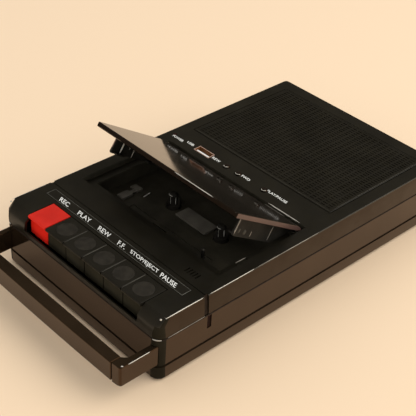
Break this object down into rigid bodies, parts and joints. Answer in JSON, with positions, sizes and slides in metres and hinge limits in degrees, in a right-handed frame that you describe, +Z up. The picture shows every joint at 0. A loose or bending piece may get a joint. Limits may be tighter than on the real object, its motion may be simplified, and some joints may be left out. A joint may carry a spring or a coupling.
{
  "type": "portable cassette player",
  "caption": "Flat portable cassette player and recorder with piano keys, sprung top door, speaker grille, USB socket and a pull-out carrying handle.",
  "frame": {"origin": "bottom centre of the box round the whole player at rest, with the door open and the handle partly drawn out; z = 0 is the table", "axes": "+Z up, -Y towards the keys and the handle, +Y towards the loudspeaker, +X towards the pause key"},
  "size_m": [0.138, 0.2608, 0.0775],
  "materials": {
    "lower_case": "glossy black",
    "upper_case": "satin black",
    "key_shaft": "plain steel",
    "key_spring_comb": "plain steel",
    "label_strip": "satin black",
    "well_tray": "satin black",
    "leaf_plate": "satin dark grey",
    "record_guard_lever": "satin dark grey",
    "hinge_rod": "plain steel",
    "motor": "plain steel",
    "drive_belt": "matt black",
    "main_board": "green board",
    "panel_board": "green board",
    "usb_shell": "polished",
    "usb_tongue": "satin white",
    "power_light": "clear dark red",
    "microphone": "plain steel",
    "microphone_jack": "satin black",
    "earphone_jack": "satin black",
    "power_inlet": "satin black",
    "speaker_grille": "satin black",
    "speaker_frame": "plain steel",
    "speaker_cone": "pressed paper",
    "speaker_magnet": "dark",
    "battery_holder": "satin black",
    "battery_contact_left": "plain steel",
    "battery_contact_right": "plain steel",
    "foot_front_left": "matt black",
    "foot_front_right": "matt black",
    "foot_rear_left": "matt black",
    "foot_rear_right": "matt black",
    "screw_front_left": "polished",
    "screw_front_right": "polished",
    "screw_rear_left": "polished",
    "screw_rear_right": "polished",
    "door_panel": "glossy black",
    "cassette_holder": "satin black",
    "key_record": "glossy red",
    "key_play": "glossy black",
    "key_rewind": "glossy black",
    "key_fast_forward": "glossy black",
    "key_stop_eject": "glossy black",
    "key_pause": "glossy black",
    "supply_spindle": "satin dark grey",
    "takeup_spindle": "satin dark grey",
    "head_bridge": "plain steel",
    "record_play_head": "polished",
    "erase_head": "satin black",
    "pinch_roller": "matt black",
    "capstan_flywheel": "plain steel",
    "motor_pulley": "turned",
    "volume_wheel": "satin black",
    "battery_lid": "glossy black",
    "handle_frame": "glossy black",
    "handle_grip": "glossy black",
    "button_rewind": "glossy black",
    "button_forward": "glossy black",
    "button_play_pause": "glossy black"
  },
  "bodies": {
    "case": {"lower_case": "lower_case", "upper_case": "upper_case", "key_shaft": "key_shaft", "key_spring_comb": "key_spring_comb", "label_strip": "label_strip", "well_tray": "well_tray", "leaf_plate": "leaf_plate", "record_guard_lever": "record_guard_lever", "hinge_rod": "hinge_rod", "motor": "motor", "drive_belt": "drive_belt", "main_board": "main_board", "panel_board": "panel_board", "usb_shell": "usb_shell", "usb_tongue": "usb_tongue", "power_light": "power_light", "microphone": "microphone", "microphone_jack": "microphone_jack", "earphone_jack": "earphone_jack", "power_inlet": "power_inlet", "speaker_grille": "speaker_grille", "speaker_frame": "speaker_frame", "speaker_cone": "speaker_cone", "speaker_magnet": "speaker_magnet", "battery_holder": "battery_holder", "battery_contact_left": "battery_contact_left", "battery_contact_right": "battery_contact_right", "foot_front_left": "foot_front_left", "foot_front_right": "foot_front_right", "foot_rear_left": "foot_rear_left", "foot_rear_right": "foot_rear_right", "screw_front_left": "screw_front_left", "screw_front_right": "screw_front_right", "screw_rear_left": "screw_rear_left", "screw_rear_right": "screw_rear_right"},
    "door": {"door_panel": "door_panel", "cassette_holder": "cassette_holder"},
    "key_record": {"key_record": "key_record"},
    "key_play": {"key_play": "key_play"},
    "key_rewind": {"key_rewind": "key_rewind"},
    "key_fast_forward": {"key_fast_forward": "key_fast_forward"},
    "key_stop_eject": {"key_stop_eject": "key_stop_eject"},
    "key_pause": {"key_pause": "key_pause"},
    "supply_spindle": {"supply_spindle": "supply_spindle"},
    "takeup_spindle": {"takeup_spindle": "takeup_spindle"},
    "head_bridge": {"head_bridge": "head_bridge", "record_play_head": "record_play_head", "erase_head": "erase_head"},
    "pinch_roller": {"pinch_roller": "pinch_roller"},
    "capstan_flywheel": {"capstan_flywheel": "capstan_flywheel"},
    "motor_pulley": {"motor_pulley": "motor_pulley"},
    "volume_wheel": {"volume_wheel": "volume_wheel"},
    "battery_lid": {"battery_lid": "battery_lid"},
    "handle": {"handle_frame": "handle_frame", "handle_grip": "handle_grip"},
    "button_rewind": {"button_rewind": "button_rewind"},
    "button_forward": {"button_forward": "button_forward"},
    "button_play_pause": {"button_play_pause": "button_play_pause"}
  },
  "joints": [
    {"name": "door_hinge", "type": "hinge", "parent": "case", "child": "door", "pos_m": [0, 0.0113, 0.0386], "axis": [1, 0, 0], "range_deg": [0, 32.5], "stiffness_Nm_per_rad": 0.012, "springref_deg": -74.48},
    {"name": "key_record_press", "type": "hinge", "parent": "case", "child": "key_record", "pos_m": [0, -0.0752, 0.034], "axis": [1, 0, 0], "range_deg": [0, 6.5], "stiffness_Nm_per_rad": 0.08, "springref_deg": -6.88},
    {"name": "key_play_press", "type": "hinge", "parent": "case", "child": "key_play", "pos_m": [0, -0.0752, 0.034], "axis": [1, 0, 0], "range_deg": [0, 6.5], "stiffness_Nm_per_rad": 0.08, "springref_deg": -6.88},
    {"name": "key_rewind_press", "type": "hinge", "parent": "case", "child": "key_rewind", "pos_m": [0, -0.0752, 0.034], "axis": [1, 0, 0], "range_deg": [0, 6.5], "stiffness_Nm_per_rad": 0.08, "springref_deg": -6.88},
    {"name": "key_fast_forward_press", "type": "hinge", "parent": "case", "child": "key_fast_forward", "pos_m": [0, -0.0752, 0.034], "axis": [1, 0, 0], "range_deg": [0, 6.5], "stiffness_Nm_per_rad": 0.08, "springref_deg": -6.88},
    {"name": "key_stop_eject_press", "type": "hinge", "parent": "case", "child": "key_stop_eject", "pos_m": [0, -0.0752, 0.034], "axis": [1, 0, 0], "range_deg": [0, 6.5], "stiffness_Nm_per_rad": 0.08, "springref_deg": -6.88},
    {"name": "key_pause_press", "type": "hinge", "parent": "case", "child": "key_pause", "pos_m": [0, -0.0752, 0.034], "axis": [1, 0, 0], "range_deg": [0, 6.5], "stiffness_Nm_per_rad": 0.08, "springref_deg": -6.88},
    {"name": "supply_spindle_turn", "type": "hinge", "parent": "case", "child": "supply_spindle", "pos_m": [-0.02125, -0.0161, 0.02], "axis": [0, 0, 1], "continuous": true},
    {"name": "takeup_spindle_turn", "type": "hinge", "parent": "case", "child": "takeup_spindle", "pos_m": [0.02125, -0.0161, 0.02], "axis": [0, 0, 1], "continuous": true},
    {"name": "flywheel_turn", "type": "hinge", "parent": "case", "child": "capstan_flywheel", "pos_m": [0.031, -0.0399, 0.006], "axis": [0, 0, 1], "continuous": true},
    {"name": "motor_turn", "type": "hinge", "parent": "case", "child": "motor_pulley", "pos_m": [-0.034, -0.0356, 0.006], "axis": [0, 0, 1], "continuous": true},
    {"name": "head_bridge_slide", "type": "slide", "parent": "case", "child": "head_bridge", "axis": [0, 1, 0], "range_m": [0, 0.003]},
    {"name": "pinch_roller_turn", "type": "hinge", "parent": "head_bridge", "child": "pinch_roller", "pos_m": [0.031, -0.0489, 0.03], "axis": [0, 0, 1], "continuous": true},
    {"name": "volume_turn", "type": "hinge", "parent": "case", "child": "volume_wheel", "pos_m": [-0.0624, 0.024, 0.034], "axis": [0, 0, 1], "range_deg": [-140, 140]},
    {"name": "battery_lid_slide", "type": "slide", "parent": "case", "child": "battery_lid", "axis": [0, 1, 0], "range_m": [0, 0.03]},
    {"name": "handle_slide", "type": "slide", "parent": "case", "child": "handle", "axis": [0, -1, 0], "range_m": [-0.015, 0.014]},
    {"name": "button_rewind_press", "type": "slide", "parent": "case", "child": "button_rewind", "axis": [0, 0, -1], "range_m": [0, 0.0007], "stiffness_N_per_m": 300, "springref_m": -0.0004},
    {"name": "button_forward_press", "type": "slide", "parent": "case", "child": "button_forward", "axis": [0, 0, -1], "range_m": [0, 0.0007], "stiffness_N_per_m": 300, "springref_m": -0.0004},
    {"name": "button_play_pause_press", "type": "slide", "parent": "case", "child": "button_play_pause", "axis": [0, 0, -1], "range_m": [0, 0.0007], "stiffness_N_per_m": 300, "springref_m": -0.0004}
  ],
  "couplings": [
    {"joint": "motor_turn", "follows": "flywheel_turn", "ratio": 4.7222},
    {"joint": "head_bridge_slide", "follows": "key_play_press", "m_per_rad": 0.0264}
  ]
}
